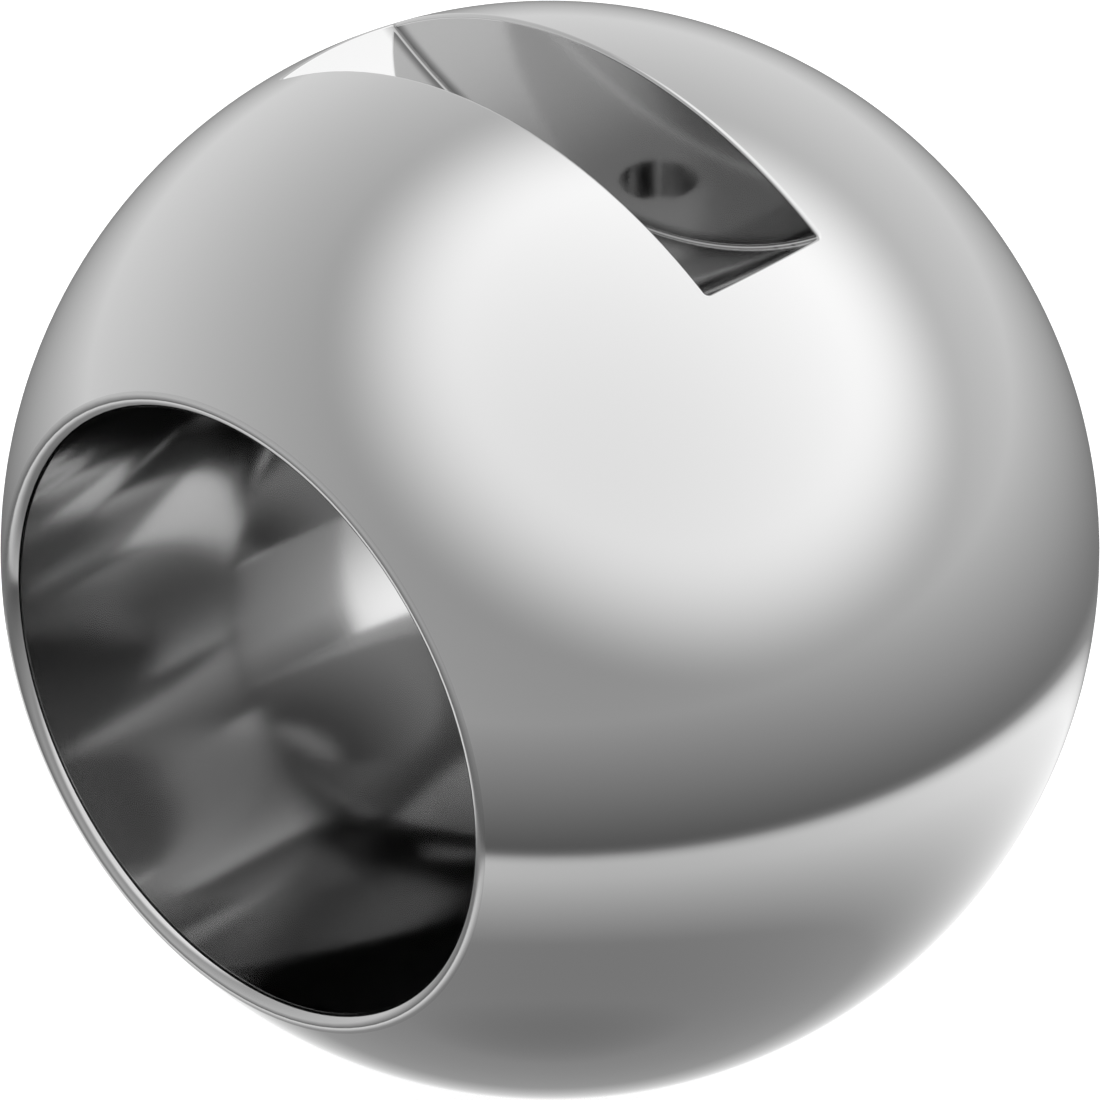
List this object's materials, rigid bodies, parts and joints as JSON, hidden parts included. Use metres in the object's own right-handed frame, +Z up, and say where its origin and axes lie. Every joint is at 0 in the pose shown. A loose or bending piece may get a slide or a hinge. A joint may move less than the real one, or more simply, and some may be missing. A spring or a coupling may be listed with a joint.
{
  "type": "v-port valve ball",
  "caption": "Polished metal ball for a quarter-turn control valve: round inlet bore, V-shaped outlet port, open stem slot with a hollow floor, and a vent hole.",
  "frame": {"origin": "centre of the ball, where the inlet bore's axis crosses the stem's axis", "axes": "+Z up the stem axis, out of the stem slot; the round inlet bore opens towards -X and the V-shaped outlet port towards +X; the stem slot runs along Y, and the point of the V is on the +Y side"},
  "size_m": [0.0754, 0.085, 0.0845],
  "materials": {
    "polished_steel": "lapped and mirror polished outside, turned and polished bore"
  },
  "bodies": {
    "root": {"ball": "polished_steel"}
  },
  "joints": []
}
